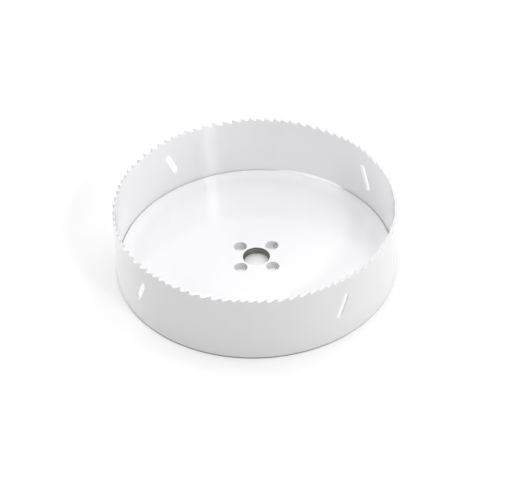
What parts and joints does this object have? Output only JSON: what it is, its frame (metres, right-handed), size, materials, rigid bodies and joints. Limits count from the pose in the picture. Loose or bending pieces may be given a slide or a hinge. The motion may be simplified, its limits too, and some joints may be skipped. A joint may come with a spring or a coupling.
{
  "type": "hole saw",
  "caption": "Wide shallow hole saw: a thin toothed steel band with slanted slots round a thick backing plate with a tapped centre hole and drive pin holes.",
  "frame": {"origin": "on the saw's axis, at the back face of the backing plate", "axes": "+Z along the saw's axis from the back face to the teeth; +X and +Y across it, midway between neighbouring drive pin holes"},
  "size_m": [0.1684, 0.1685, 0.0456],
  "materials": {
    "band_enamel": "smooth glossy white enamel over steel",
    "plate_enamel": "smooth glossy white enamel over steel",
    "cut_steel": "bare cut steel with a film of oil, on the thread's ridges"
  },
  "bodies": {
    "root": {"toothed_band": "band_enamel", "backing_plate": "plate_enamel"}
  },
  "joints": []
}
